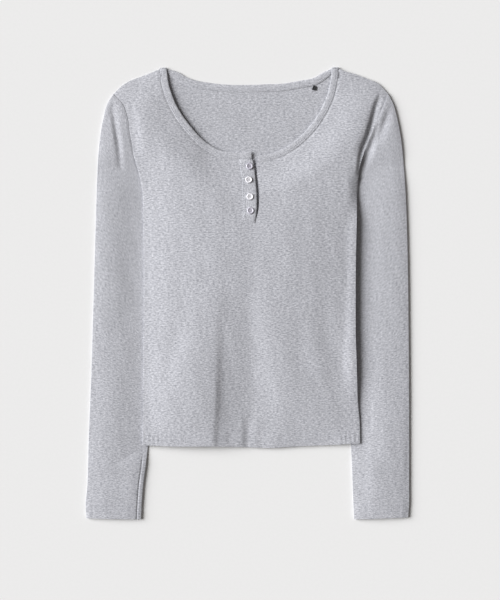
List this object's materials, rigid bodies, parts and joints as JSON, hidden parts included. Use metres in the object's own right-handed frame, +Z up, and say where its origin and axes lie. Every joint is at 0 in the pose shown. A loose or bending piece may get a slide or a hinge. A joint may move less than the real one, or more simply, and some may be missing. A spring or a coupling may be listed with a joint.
{
  "type": "henley top",
  "caption": "Grey heather rib-knit henley top with long sleeves, scoop neck, bound neckline and a short buttoned opening, laid flat on its back.",
  "frame": {"origin": "on the surface it lies on, under the middle of its outline seen from above", "axes": "+X across the body to the wearer's left sleeve, +Y from the hem to the neck, +Z up out of the surface, so the front of the top faces +Z"},
  "size_m": [0.4846, 0.678, 0.0171],
  "materials": {
    "heather_rib": "fine one-by-one rib knit, grey heather, matte",
    "heather_trim": "the same rib knit folded double, matte",
    "pearl_button": "pearly, half clear, glossy",
    "black_tape": "plain black woven tape, matte"
  },
  "bodies": {
    "root": {"body_front": "heather_rib", "body_back": "heather_rib", "sleeve_right": "heather_rib", "sleeve_left": "heather_rib", "neck_binding": "heather_trim", "placket_over": "heather_trim", "placket_under": "heather_trim", "button_1": "pearl_button", "button_2": "pearl_button", "button_3": "pearl_button", "button_4": "pearl_button", "neck_tab": "black_tape"}
  },
  "joints": []
}
